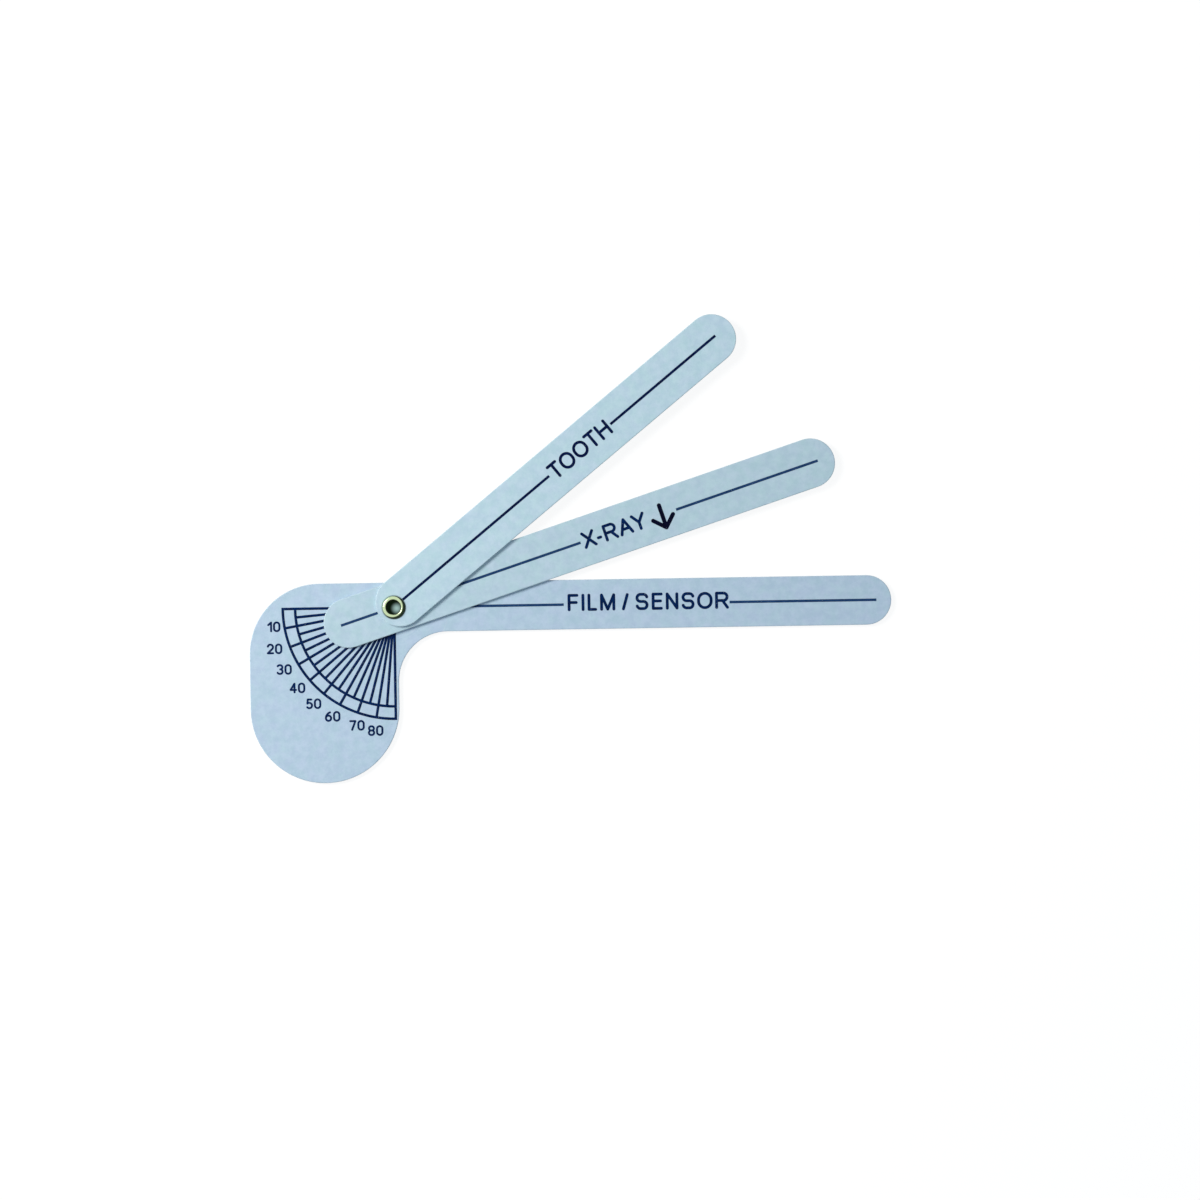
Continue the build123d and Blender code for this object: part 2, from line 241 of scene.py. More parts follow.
world = bpy.data.worlds.new("pale_surround")
world.use_nodes = True
tree = world.node_tree
tree.nodes.clear()
seen = seen_as_it_is(tree)
fill = add(tree, "ShaderNodeBackground", {"Color": SURROUND_COLOUR, "Strength": SURROUND_SHARE})
white = add(tree, "ShaderNodeBackground", {"Color": PLAIN_WHITE, "Strength": 1.0})
surround = add(tree, "ShaderNodeMixShader", {0: seen, 1: fill.outputs[0], 2: white.outputs[0]})
add(tree, "ShaderNodeOutputWorld", {"Surface": surround.outputs[0]})
bpy.context.scene.world = world
bpy.context.scene.view_settings.view_transform = "Standard"
print(f"lamp {lamp_data.energy:.2f} W at {LAMP_DISTANCE} m, {degrees(LAMP_ELEVATION):.0f} degrees up")

# %% [markdown]
# The tool lies on a white table. Seen by the camera the table is nearly its own white, so it stays plain to
# the edges, and a little of its real shading is kept, which leaves the tool's thin shadow on it.
# Inside the eyelet the table lies at the bottom of a narrow dark well, and there its colour is painted:
# painted shade, near black, and a soft painted spot of light to the side away from the lamp, for the little
# light that comes down the tube. The table's underside has no painted well.

# %% Table
TABLE_HALF = 2.0
TABLE_WHITE = 0.84
TABLE_GLOW = (1.07, 1.07, 1.07, 1)
PAPER_COLOUR = (0.93, 0.93, 0.93, 1)
WELL_RADIUS = 3.0 * MM
PAINTED_WELL_SHADE = (0.004, 0.010, 0.004, 1)
SPOT_OFFSET = 0.65 * MM
SPOT_RADIUS = 1.75 * MM
PAINTED_SPOT_LIGHT = (0.33, 0.50, 0.47, 1)

corners = [(-1, -1), (1, -1), (1, 1), (-1, 1)]
table_mesh = bpy.data.meshes.new("table")
table_mesh.from_pydata([(x * TABLE_HALF, y * TABLE_HALF, GROUND) for x, y in corners], [], [(0, 1, 2, 3)])
table = bpy.data.objects.new("table", table_mesh)
bpy.context.scene.collection.objects.link(table)

table_white = bpy.data.materials.new("table_white")
table_white.use_nodes = True
tree = table_white.node_tree
tree.nodes.clear()
seen = seen_as_it_is(tree)
level = flattened(tree, add(tree, "ShaderNodeTexCoord").outputs["Object"])
in_well = calc(tree, "LESS_THAN", vec(tree, "LENGTH", level), WELL_RADIUS)
underside = add(tree, "ShaderNodeNewGeometry").outputs["Backfacing"]
inside = calc(tree, "SUBTRACT", in_well, underside, clamp=True)
spot_middle = (-cos(LAMP_AZIMUTH) * SPOT_OFFSET, -sin(LAMP_AZIMUTH) * SPOT_OFFSET, 0)
spot = ramped(tree, vec(tree, "DISTANCE", level, spot_middle), SPOT_RADIUS, 0.0)
# Painted shade in the well, with a painted pool of light on the side away from the lamp.
well = mixed(tree, spot, PAINTED_WELL_SHADE, PAINTED_SPOT_LIGHT)
glow_colour = mixed(tree, inside, TABLE_GLOW, well)
share = calc(tree, "MULTIPLY", seen, calc(tree, "MAXIMUM", inside, TABLE_WHITE))
paper = add(tree, "ShaderNodeBsdfDiffuse", {"Color": PAPER_COLOUR})
glow = add(tree, "ShaderNodeEmission", {"Color": glow_colour, "Strength": 1.0})
surface = add(tree, "ShaderNodeMixShader", {0: share, 1: paper.outputs[0], 2: glow.outputs[0]})
add(tree, "ShaderNodeOutputMaterial", {"Surface": surface.outputs[0]})
table_mesh.materials.append(table_white)
print(f"table at {GROUND / MM:.3f} mm")

# %% [markdown]
# Effects that more than one material uses are node groups, built once. Each takes the place on the object and
# its own sizes in millimetres, and puts out only masks and heights. A seed moves the place along, so that two
# sheets of the same stuff don't show the same clouds.

# %% Helpers for node groups
VECTOR = "NodeSocketVector"
FLOAT = "NodeSocketFloat"
SEED_STEP = (37.0, 53.0, 71.0)


def new_group(name, inputs, outputs):
    """An empty shader group with these named sockets, as its tree, its inputs and its output node."""
    group = bpy.data.node_groups.new(name, "ShaderNodeTree")
    for label, kind, value in inputs:
        socket = group.interface.new_socket(label, in_out="INPUT", socket_type=kind)
        if value is not None:
            socket.default_value = value
    for label in outputs:
        group.interface.new_socket(label, in_out="OUTPUT", socket_type=FLOAT)
    entry = group.nodes.new("NodeGroupInput").outputs
    return group, entry, group.nodes.new("NodeGroupOutput")


def close_group(group, out, results):
    """Link each result to the group's output of that name."""
    for label, socket in results.items():
        group.links.new(socket, out.inputs[label])
    print("group:", group.name)


def in_mm(tree, vector):
    """A place in metres, in millimetres."""
    return scaled(tree, vector, 1 / MM)


def seeded(tree, place_mm, seed):
    """The place moved by its seed, so that no two surfaces show the same stretch of a pattern."""
    return vec(tree, "ADD", place_mm, scaled(tree, SEED_STEP, seed))


def per_mm(tree, size):
    """How many times a pattern of this size repeats in a millimetre."""
    return calc(tree, "DIVIDE", 1.0, size)


# %% [markdown]
# The first group is the sheet's own surface: a fine matt emboss from the calender rolls, and the faint clouds
# of tone that such a sheet always has. A second, slower cloud shifts its tint.

# %% Node group: grain of a calendered sheet
SOFT_CUT = (0.3, 0.7)
TINT_SEED = 3.0
TINT_SCALE = 0.7

grain_group, entry, out = new_group(
    "sheet_grain",
    [("Place", VECTOR, None), ("Grain Size", FLOAT, 0.1), ("Cloud Size", FLOAT, 5.0), ("Seed", FLOAT, 0.0)],
    ["Clouds", "Tint", "Grain"],
)
place_mm = seeded(grain_group, in_mm(grain_group, entry["Place"]), entry["Seed"])
wider = per_mm(grain_group, entry["Cloud Size"])
slower = calc(grain_group, "MULTIPLY", wider, TINT_SCALE)
pebbles = noise(grain_group, place_mm, per_mm(grain_group, entry["Grain Size"]), 2.0, 0.55)
clouds = noise(grain_group, place_mm, wider, 4.0, 0.72)
tints = noise(grain_group, seeded(grain_group, place_mm, TINT_SEED), slower, 3.0, 0.6)
close_group(grain_group, out, {
    "Clouds": ramped(grain_group, clouds, *SOFT_CUT),
    "Tint": ramped(grain_group, tints, *SOFT_CUT),
    "Grain": pebbles,
})

# %% [markdown]
# The sheets are punched out with a steel rule die. That rolls the top rim over and leaves it a shade lighter,
# and it draws fine upright lines down the cut wall. The direction that a face looks in tells rim from wall:
# the slope is 1 on the flat and 0 on the wall.

# %% Node group: punched rim
RIM_SLOPE = (0.995, 0.75)
WALL_SLOPE = (0.45, 0.1)
RIM_PATCHES = (0.2, 0.6, 0.55, 1.0)
UPRIGHT_STRETCH = (1.0, 1.0, 0.06)

rim_group, entry, out = new_group(
    "punched_rim",
    [("Place", VECTOR, None), ("Normal", VECTOR, None), ("Line Width", FLOAT, 0.12), ("Seed", FLOAT, 0.0)],
    ["Rim", "Wall", "Lines"],
)
slope = calc(rim_group, "ABSOLUTE", axes_of(rim_group, entry["Normal"])["Z"])
place_mm = seeded(rim_group, in_mm(rim_group, entry["Place"]), entry["Seed"])
patches = ramped(rim_group, noise(rim_group, place_mm, 0.8, 2.0, 0.6), *RIM_PATCHES)
stretched = vec(rim_group, "MULTIPLY", place_mm, UPRIGHT_STRETCH)
close_group(rim_group, out, {
    "Rim": calc(rim_group, "MULTIPLY", ramped(rim_group, slope, *RIM_SLOPE), patches),
    "Wall": ramped(rim_group, slope, *WALL_SLOPE),
    "Lines": noise(rim_group, stretched, per_mm(rim_group, entry["Line Width"]), 2.0, 0.6),
})

# %% [markdown]
# A pocket tool is wiped, slid about and dropped in drawers. That leaves hair-thin marks, mostly along one
# direction at a time, in bunches. Noise pulled out to long threads and cut off high gives just that.

# %% Node group: wiping marks
THREAD_BEND_MM = 6.0
BEND_SCALE = 0.05
BUNCH_SCALE = 0.09
BUNCH_CUT = (0.45, 0.7)
THREAD_CUT = (0.68, 0.78)

wipe_group, entry, out = new_group(
    "wiping_marks",
    [
        ("Place", VECTOR, None), ("Angle", FLOAT, 0.0), ("Length", FLOAT, 14.0), ("Width", FLOAT, 0.1),
        ("Amount", FLOAT, 0.3), ("Seed", FLOAT, 0.0),
    ],
    ["Marks"],
)
place_mm = seeded(wipe_group, in_mm(wipe_group, entry["Place"]), entry["Seed"])
turn = {"Vector": place_mm, "Angle": entry["Angle"]}
turned = add(wipe_group, "ShaderNodeVectorRotate", turn, rotation_type="Z_AXIS").outputs[0]
bend = noise(wipe_group, turned, BEND_SCALE, 0.0)
parts = axes_of(wipe_group, turned)
bent = calc(wipe_group, "MULTIPLY_ADD", bend, THREAD_BEND_MM, parts["Y"])
along = calc(wipe_group, "DIVIDE", parts["X"], entry["Length"])
across = calc(wipe_group, "DIVIDE", bent, entry["Width"])
threads = noise(wipe_group, vector_of(wipe_group, X=along, Y=across), 1.0, 0.0)
bunches = noise(wipe_group, turned, BUNCH_SCALE, 1.0)
gate = calc(wipe_group, "MULTIPLY", ramped(wipe_group, bunches, *BUNCH_CUT), entry["Amount"])
cut = ramped(wipe_group, threads, *THREAD_CUT)
close_group(wipe_group, out, {"Marks": calc(wipe_group, "MULTIPLY", cut, gate)})

# %% [markdown]
# Where one sheet turns on another, grit between them scores faint rings about the eyelet. The noise is read
# on distance from the pivot, and only slowly on direction, so each ring runs a long way round and then fades.
# The same group gives a painted shadow on the top sheet, close against the eyelet's flange: painted shade,
# thin all round, and a painted cast shadow, dense and a little wider on the side away from the lamp.

# %% Node group: rings rubbed about the pivot, and the flange's painted shadow
RINGS_PER_MM = 5.0
RING_CUT = (0.58, 0.72)
RINGS_BEGIN_MM = 1.0
RINGS_FADE = 0.6
FLANGE_SHADE_WIDTH = 0.35
THIN_FLANGE_SHADE = 0.6
FLANGE_CAST_SHADOW = 0.95
CAST_SHADOW_WIDTH = 0.1
CAST_SHADOW_MIDDLE = (0.11, -0.09, 0)

rub_and_shade_group, entry, out = new_group(
    "pivot_rub_and_shade",
    [
        ("Place", VECTOR, None), ("Inner", FLOAT, 3.0), ("Outer", FLOAT, 20.0), ("Flange", FLOAT, 2.9),
        ("Seed", FLOAT, 0.0),
    ],
    ["Marks", "Flange Shadow"],
)
level = flattened(rub_and_shade_group, in_mm(rub_and_shade_group, entry["Place"]))
reach = vec(rub_and_shade_group, "LENGTH", level)
sides = axes_of(rub_and_shade_group, vec(rub_and_shade_group, "NORMALIZE", level))
ring_place = vector_of(
    rub_and_shade_group, X=calc(rub_and_shade_group, "MULTIPLY", reach, RINGS_PER_MM), Y=sides["X"], Z=sides["Y"]
)
rings = noise(rub_and_shade_group, seeded(rub_and_shade_group, ring_place, entry["Seed"]), 1.0, 1.0)
begins = ramped(rub_and_shade_group, reach, entry["Inner"], calc(rub_and_shade_group, "ADD", entry["Inner"], RINGS_BEGIN_MM))
ends = ramped(rub_and_shade_group, reach, entry["Outer"], calc(rub_and_shade_group, "MULTIPLY", entry["Outer"], RINGS_FADE))
window = calc(rub_and_shade_group, "MULTIPLY", begins, ends)
# Painted shade: a thin band all round the flange, and a painted cast shadow on the side away from the lamp.
flange_shade_end = calc(rub_and_shade_group, "ADD", entry["Flange"], FLANGE_SHADE_WIDTH)
thin = calc(rub_and_shade_group, "MULTIPLY", ramped(rub_and_shade_group, reach, flange_shade_end, entry["Flange"]), THIN_FLANGE_SHADE)
off_middle = vec(rub_and_shade_group, "DISTANCE", level, CAST_SHADOW_MIDDLE)
cast_shadow_end = calc(rub_and_shade_group, "ADD", entry["Flange"], CAST_SHADOW_WIDTH)
cast_shadow = calc(rub_and_shade_group, "MULTIPLY", ramped(rub_and_shade_group, off_middle, cast_shadow_end, entry["Flange"]), FLANGE_CAST_SHADOW)
close_group(rub_and_shade_group, out, {
    "Marks": calc(rub_and_shade_group, "MULTIPLY", ramped(rub_and_shade_group, rings, *RING_CUT), window),
    "Flange Shadow": calc(rub_and_shade_group, "MAXIMUM", thin, cast_shadow),
})

# %% [markdown]
# A little dust lies on everything. Each cell of a Voronoi pattern may hold one speck, and most hold none.

# %% Node group: dust
EMPTY_CELLS = 0.72
SPECK_CORE = 0.5

dust_group, entry, out = new_group(
    "fine_dust",
    [("Place", VECTOR, None), ("Spacing", FLOAT, 1.5), ("Speck", FLOAT, 0.06), ("Seed", FLOAT, 0.0)],
    ["Dust"],
)


def flat_cells(tree, place_mm, scale):
    """A flat Voronoi pattern: the distance to each cell's middle, and the cell's own random number."""
    inputs = {"Vector": place_mm, "Scale": scale}
    cells = add(tree, "ShaderNodeTexVoronoi", inputs, voronoi_dimensions="2D").outputs
    return cells["Distance"], add(tree, "ShaderNodeSeparateColor", {0: cells["Color"]}).outputs[0]


place_mm = seeded(dust_group, in_mm(dust_group, entry["Place"]), entry["Seed"])
distance, lot = flat_cells(dust_group, place_mm, per_mm(dust_group, entry["Spacing"]))
distance = calc(dust_group, "MULTIPLY", distance, entry["Spacing"])
core = calc(dust_group, "MULTIPLY", entry["Speck"], SPECK_CORE)
speck = ramped(dust_group, distance, entry["Speck"], core)
held = calc(dust_group, "GREATER_THAN", lot, EMPTY_CELLS)
close_group(dust_group, out, {"Dust": calc(dust_group, "MULTIPLY", speck, held)})

# %% [markdown]
# Each material of the tool is one Principled shader with three things fed to it: a colour, a roughness and a
# relief. The relief is in millimetres, because its Bump node takes one millimetre as its distance, so each
# mark can be given the depth that it has on the real thing.

# %% Helpers for materials
def use(tree, group, inputs):
    """A group placed in a tree, as its outputs."""
    node = add(tree, "ShaderNodeGroup", node_tree=group)
    for key, value in inputs.items():
        if isinstance(value, bpy.types.NodeSocket):
            tree.links.new(value, node.inputs[key])
        else:
            node.inputs[key].default_value = value
    return node.outputs


def new_material(name):
    """A material with a bare Principled shader, as its tree and its shader."""
    material = bpy.data.materials.new(name)
    material.use_nodes = True
    tree = material.node_tree
    tree.nodes.clear()
    shader = add(tree, "ShaderNodeBsdfPrincipled")
    add(tree, "ShaderNodeOutputMaterial", {"Surface": shader.outputs[0]})
    return material, tree, shader


def surfaced(tree, shader, colour, rough, relief_mm, under=None):
    """Link a colour, a roughness and a relief, which may lie on a normal under it, to the shader."""
    tree.links.new(colour, shader.inputs["Base Color"])
    tree.links.new(rough, shader.inputs["Roughness"])
    inputs = {"Strength": 1.0, "Distance": MM, "Height": relief_mm}
    if under is not None:
        inputs["Normal"] = under
    tree.links.new(add(tree, "ShaderNodeBump", inputs).outputs[0], shader.inputs["Normal"])


def dress(node, material):
    """Give a CAD node this one material."""
    mesh = frame["nodes"][node].data
    mesh.materials.clear()
    mesh.materials.append(material)


# %% [markdown]
# The sheet is rigid vinyl about as thick as a bank card, coloured through, pale blue with a matt face.
# Clouds shift the colour, rims and marks lighten it, the cut wall is darker and lined, and the rubbed rings
# are smoother than the rest. The reliefs are a few hundredths of a millimetre, and a Bevel node rounds the
# shading over the punched edge, as the die left it.

# %% Material: matt vinyl sheet
WARM_TINT = (1.025, 0.99, 1.02, 1)
COOL_TINT = (0.975, 1.01, 0.98, 1)
RUBBED_PALE = (0.70, 0.80, 0.84, 1)
WALL_DARK = (0.34, 0.47, 0.53, 1)
WALL_LIGHT = (0.52, 0.66, 0.71, 1)
DUST_COLOUR = (0.62, 0.60, 0.56, 1)
# The next colour is painted shadow, laid on the top sheet against the eyelet's flange.
PAINTED_SHADOW_COLOUR = (0.03, 0.045, 0.03, 1)
ROLLED_RIM = 0.32 * MM
CLOUD_RELIEF = 0.020
GRAIN_RELIEF = 0.010
WALL_RELIEF = 0.020
MARK_RELIEF = -0.005


def vinyl_sheet(name, light, dark, seed, rub_inner, rub_outer, wipe_angle, flange_shadow=0.0):
    """The matt sheet of the plate and the arms."""
    material, tree, shader = new_material(name)
    coords = add(tree, "ShaderNodeTexCoord").outputs
    here = {"Place": coords["Object"], "Seed": seed}
    grain = use(tree, grain_group, {**here, "Grain Size": 0.11, "Cloud Size": 2.4})
    edge = use(tree, rim_group, {**here, "Normal": coords["Normal"], "Line Width": 0.09})
    wipes = {**here, "Length": 16.0, "Width": 0.16, "Amount": 0.6, "Angle": wipe_angle}
    along = use(tree, wipe_group, wipes)["Marks"]
    wipes.update({"Length": 7.0, "Width": 0.11, "Seed": seed + 3.0, "Angle": wipe_angle + 1.1})
    marks = calc(tree, "MAXIMUM", along, use(tree, wipe_group, wipes)["Marks"])
    pivot = use(tree, rub_and_shade_group, {**here, "Inner": rub_inner, "Outer": rub_outer})
    rub = pivot["Marks"]
    dust = use(tree, dust_group, {**here, "Spacing": 2.2, "Speck": 0.07})["Dust"]

    colour = mixed(tree, grain["Clouds"], (*dark, 1), (*light, 1))
    tint = mixed(tree, grain["Tint"], WARM_TINT, COOL_TINT)
    colour = mixed(tree, 1.0, colour, tint, "MULTIPLY")
    colour = tinted(tree, colour, edge["Rim"], 0.55, RUBBED_PALE)
    colour = tinted(tree, colour, edge["Wall"], 0.7, mixed(tree, edge["Lines"], WALL_DARK, WALL_LIGHT))
    colour = tinted(tree, colour, marks, 0.22, RUBBED_PALE)
    colour = tinted(tree, colour, rub, 0.18, RUBBED_PALE)
    colour = tinted(tree, colour, dust, 0.35, DUST_COLOUR)
    # Painted shadow of the eyelet's flange: painted shade all round, and a painted cast shadow away from the
    # lamp.
    colour = tinted(tree, colour, pivot["Flange Shadow"], flange_shadow, PAINTED_SHADOW_COLOUR)

    rough = calc(tree, "MULTIPLY_ADD", grain["Grain"], 0.10, 0.47)
    rough = calc(tree, "MULTIPLY_ADD", rub, -0.10, rough)
    rough = calc(tree, "MULTIPLY_ADD", edge["Wall"], 0.12, rough, clamp=True)
    shader.inputs["Specular IOR Level"].default_value = 0.35

    wall_lines = calc(tree, "MULTIPLY", edge["Lines"], edge["Wall"])
    relief = calc(tree, "MULTIPLY", grain["Grain"], GRAIN_RELIEF)
    relief = calc(tree, "MULTIPLY_ADD", grain["Clouds"], CLOUD_RELIEF, relief)
    relief = calc(tree, "MULTIPLY_ADD", wall_lines, WALL_RELIEF, relief)
    relief = calc(tree, "MULTIPLY_ADD", marks, MARK_RELIEF, relief)
    soft_rim = add(tree, "ShaderNodeBevel", {"Radius": ROLLED_RIM}, samples=3).outputs[0]
    surfaced(tree, shader, colour, rough, relief, soft_rim)
    return material


# %% [markdown]
# The plate and the two arms come from different sheets and differ a little in tone, so the function is called
# three times. After its two tones and its seed, each sheet is told from where to where about the pivot it is
# rubbed, in millimetres, and which way it was wiped. The painted shadow against the eyelet is laid on the top
# sheet alone.

# %% The three sheets
plate_vinyl = vinyl_sheet("plate_vinyl", (0.52, 0.665, 0.795), (0.45, 0.595, 0.73), 1.0, 3.0, 30.0, 0.2)
x_ray_vinyl = vinyl_sheet("x_ray_vinyl", (0.53, 0.695, 0.78), (0.46, 0.625, 0.715), 2.0, 2.5, 14.0, 0.5)
tooth_vinyl = vinyl_sheet("tooth_vinyl", (0.565, 0.74, 0.825), (0.49, 0.67, 0.765), 3.0, 2.5, 3.8, 0.9, 1.0)
dress("film_sensor_plate", plate_vinyl)
dress("x_ray_blade", x_ray_vinyl)
dress("tooth_blade", tooth_vinyl)
print("sheets:", plate_vinyl.name, x_ray_vinyl.name, tooth_vinyl.name)

# %% [markdown]
# The markings are screen-printed: ink pushed through a woven mesh, a few hundredths of a millimetre thick.
# Close up it shows the weave of the mesh, thinner and thicker patches, and now and then a pinhole.

# %% Node group: screen-printed ink
HOLES_PER_MM = 1.1
HOLE_EDGE_MM = (0.07, 0.04)
CLOSED_CELLS = 0.8

ink_group, entry, out = new_group(
    "screen_print",
    [("Place", VECTOR, None), ("Mesh Pitch", FLOAT, 0.13), ("Patch Size", FLOAT, 1.6), ("Seed", FLOAT, 0.0)],
    ["Patches", "Weave", "Pinholes"],
)
place_mm = seeded(ink_group, in_mm(ink_group, entry["Place"]), entry["Seed"])
across = axes_of(ink_group, place_mm)
pitch = calc(ink_group, "DIVIDE", 2 * pi, entry["Mesh Pitch"])
waves = [calc(ink_group, "SINE", calc(ink_group, "MULTIPLY", across[axis], pitch)) for axis in ("X", "Y")]
weave = calc(ink_group, "MULTIPLY", *waves)
patches = noise(ink_group, place_mm, per_mm(ink_group, entry["Patch Size"]), 4.0, 0.65)
distance, lot = flat_cells(ink_group, place_mm, HOLES_PER_MM)
open_hole = calc(ink_group, "GREATER_THAN", lot, CLOSED_CELLS)
close_group(ink_group, out, {
    "Patches": ramped(ink_group, patches, *SOFT_CUT),
    "Weave": calc(ink_group, "MULTIPLY_ADD", weave, 0.5, 0.5),
    "Pinholes": calc(ink_group, "MULTIPLY", ramped(ink_group, distance, *HOLE_EDGE_MM), open_hole),
})

# %% [markdown]
# The ink is a nearly matt navy, and not the same everywhere: the thin centre lines of two arms took less of
# it and came out paler, the top arm's print is deeper, and the arrow is nearly black. So each ink is one pair
# of colours, for its thickest and its thinnest patches.

# %% Material: screen inks
SHEET_SHOWING = (0.40, 0.55, 0.62, 1)
DUST_ON_INK = (0.5, 0.5, 0.5, 1)
HOLE_RELIEF = -0.020
WEAVE_RELIEF = 0.004


def printed_ink(name, thick, thin, seed):
    """Screen ink, from its thickest patches to its thinnest."""
    material, tree, shader = new_material(name)
    here = {"Place": add(tree, "ShaderNodeTexCoord").outputs["Object"], "Seed": seed}
    print_out = use(tree, ink_group, here)
    dust = use(tree, dust_group, {**here, "Spacing": 1.8, "Speck": 0.05})["Dust"]
    colour = mixed(tree, print_out["Patches"], (*thick, 1), (*thin, 1))
    colour = tinted(tree, colour, print_out["Weave"], 0.25, (*thin, 1))
    colour = tinted(tree, colour, print_out["Pinholes"], 0.7, SHEET_SHOWING)
    colour = tinted(tree, colour, dust, 0.25, DUST_ON_INK)
    rough = calc(tree, "MULTIPLY_ADD", print_out["Patches"], 0.12, 0.40)
    shader.inputs["Specular IOR Level"].default_value = 0.04
    woven = calc(tree, "MULTIPLY", print_out["Weave"], WEAVE_RELIEF)
    relief = calc(tree, "MULTIPLY_ADD", print_out["Pinholes"], HOLE_RELIEF, woven)
    surfaced(tree, shader, colour, rough, relief)
    return material


navy_ink = printed_ink("navy_ink", (0.0001, 0.007, 0.046), (0.001, 0.02, 0.1), 4.0)
deep_ink = printed_ink("deep_navy_ink", (0.0001, 0.0025, 0.03), (0.001, 0.01, 0.068), 7.0)
line_ink = printed_ink("line_ink", (0.012, 0.042, 0.118), (0.021, 0.062, 0.165), 6.0)
arrow_ink = printed_ink("arrow_ink", (0.0002, 0.0004, 0.008), (0.001, 0.002, 0.018), 5.0)
PRINTED = {
    "scale_numerals": navy_ink,
    "film_arm_legend": navy_ink,
    "x_ray_arm_legend": navy_ink,
    "tooth_arm_legend": deep_ink,
    "tooth_arm_line": deep_ink,
    "film_arm_line": line_ink,
    "x_ray_arm_line": line_ink,
    "x_ray_tail_pointer": line_ink,
    "x_ray_arm_arrow": arrow_ink,
}
for node, ink in PRINTED.items():
    dress(node, ink)
print("printed nodes:", len(PRINTED))

# %% [markdown]
# The scale follows a rule: a ray every five degrees, every second one longer, and two arcs across them.
# That is work for Geometry Nodes. Its sizes are the tree's own named inputs, so that another scale could be
# printed by the same tree. Only the outer edge and the height of the ink are measured on the frame.

# %% Printed scale: sizes
INTEGER = "NodeSocketInt"
GEOMETRY = "NodeSocketGeometry"
MATERIAL = "NodeSocketMaterial"
LINE_WIDTH = 0.66 * MM
BAND_WIDTH = 3.15 * MM
FIRST_RADIUS = 5.05 * MM
RAY_STEP = radians(5)
RAY_COUNT = 19
RAY_POINTS = 48
ARC_POINTS = 140
WANDER_PER_MM = 2.8

outer_arc = -scale_box[0].x - LINE_WIDTH / 2
SIZES = [
    ("Rays", INTEGER, RAY_COUNT),
    ("Step", FLOAT, RAY_STEP),
    ("First Radius", FLOAT, FIRST_RADIUS),
    ("Inner Arc", FLOAT, outer_arc - BAND_WIDTH),
    ("Outer Arc", FLOAT, outer_arc),
    ("Line Width", FLOAT, LINE_WIDTH),
    ("Ink Bottom", FLOAT, scale_box[0].z),
    ("Ink Thickness", FLOAT, scale_box[1].z - scale_box[0].z),
    ("Edge Wander", FLOAT, 0.05 * MM),
    ("Seed", FLOAT, 11.0),
    ("Ink", MATERIAL, navy_ink),
]
print(f"scale: {RAY_COUNT} rays, arcs at {(outer_arc - BAND_WIDTH) / MM:.2f} and {outer_arc / MM:.2f} mm")

# %% [markdown]
# Two helpers open and close a tree. A modifier knows a tree's inputs by identifier and not by name, so the
# first notes each value under its identifier. The second ends the tree in real geometry with its material,
# because copies that are only instances would be lost when the piece is handed over.

# %% Helpers for Geometry Nodes
def new_shaper(name, sizes, takes_mesh=False):
    """An empty Geometry Nodes tree: the tree, its inputs, and their values by identifier."""
    tree = bpy.data.node_groups.new(name, "GeometryNodeTree")
    tree.interface.new_socket("Geometry", in_out="OUTPUT", socket_type=GEOMETRY)
    if takes_mesh:
        tree.interface.new_socket("Geometry", in_out="INPUT", socket_type=GEOMETRY)
    values = {}
    for label, kind, value in sizes:
        socket = tree.interface.new_socket(label, in_out="INPUT", socket_type=kind)
        values[socket.identifier] = value
    return tree, tree.nodes.new("NodeGroupInput").outputs, values


def close_shaper(tree, shape, material):
    """End a tree: real geometry, with its material."""
    real = add(tree, "GeometryNodeRealizeInstances", {"Geometry": shape}).outputs[0]
    finished = add(tree, "GeometryNodeSetMaterial", {"Geometry": real, "Material": material}).outputs[0]
    tree.links.new(finished, tree.nodes.new("NodeGroupOutput").inputs[0])
    print("tree:", tree.name, "-", len(tree.nodes), "nodes")


# %% [markdown]
# The first half of the tree draws: each ray is a short line, copied round the pivot by its index, and each
# arc is a quarter circle. The long rays are the even ones and run across the band to its outer edge. The
# short ones end on the inner arc.

# %% Printed scale: rays and arcs
def ray_line(tree, start, end):
    """A line along -x from one radius to another, in short steps."""
    first = vector_of(tree, X=calc(tree, "MULTIPLY", start, -1.0))
    last = vector_of(tree, X=calc(tree, "MULTIPLY", end, -1.0))
    line = add(tree, "GeometryNodeCurvePrimitiveLine", {"Start": first, "End": last}).outputs[0]
    return add(tree, "GeometryNodeResampleCurve", {"Curve": line, "Count": RAY_POINTS}).outputs[0]


def copied_round(tree, points, picked, shape, turn):
    """A copy of the shape for each picked point, turned about the pivot."""
    inputs = {"Points": points, "Selection": picked, "Instance": shape, "Rotation": turn}
    return add(tree, "GeometryNodeInstanceOnPoints", inputs).outputs[0]


def quarter_arc(tree, radius):
    """A quarter circle about the pivot, from -x to -y."""
    inputs = {"Resolution": ARC_POINTS, "Radius": radius, "Start Angle": pi, "Sweep Angle": pi / 2}
    return add(tree, "GeometryNodeCurveArc", inputs).outputs[0]


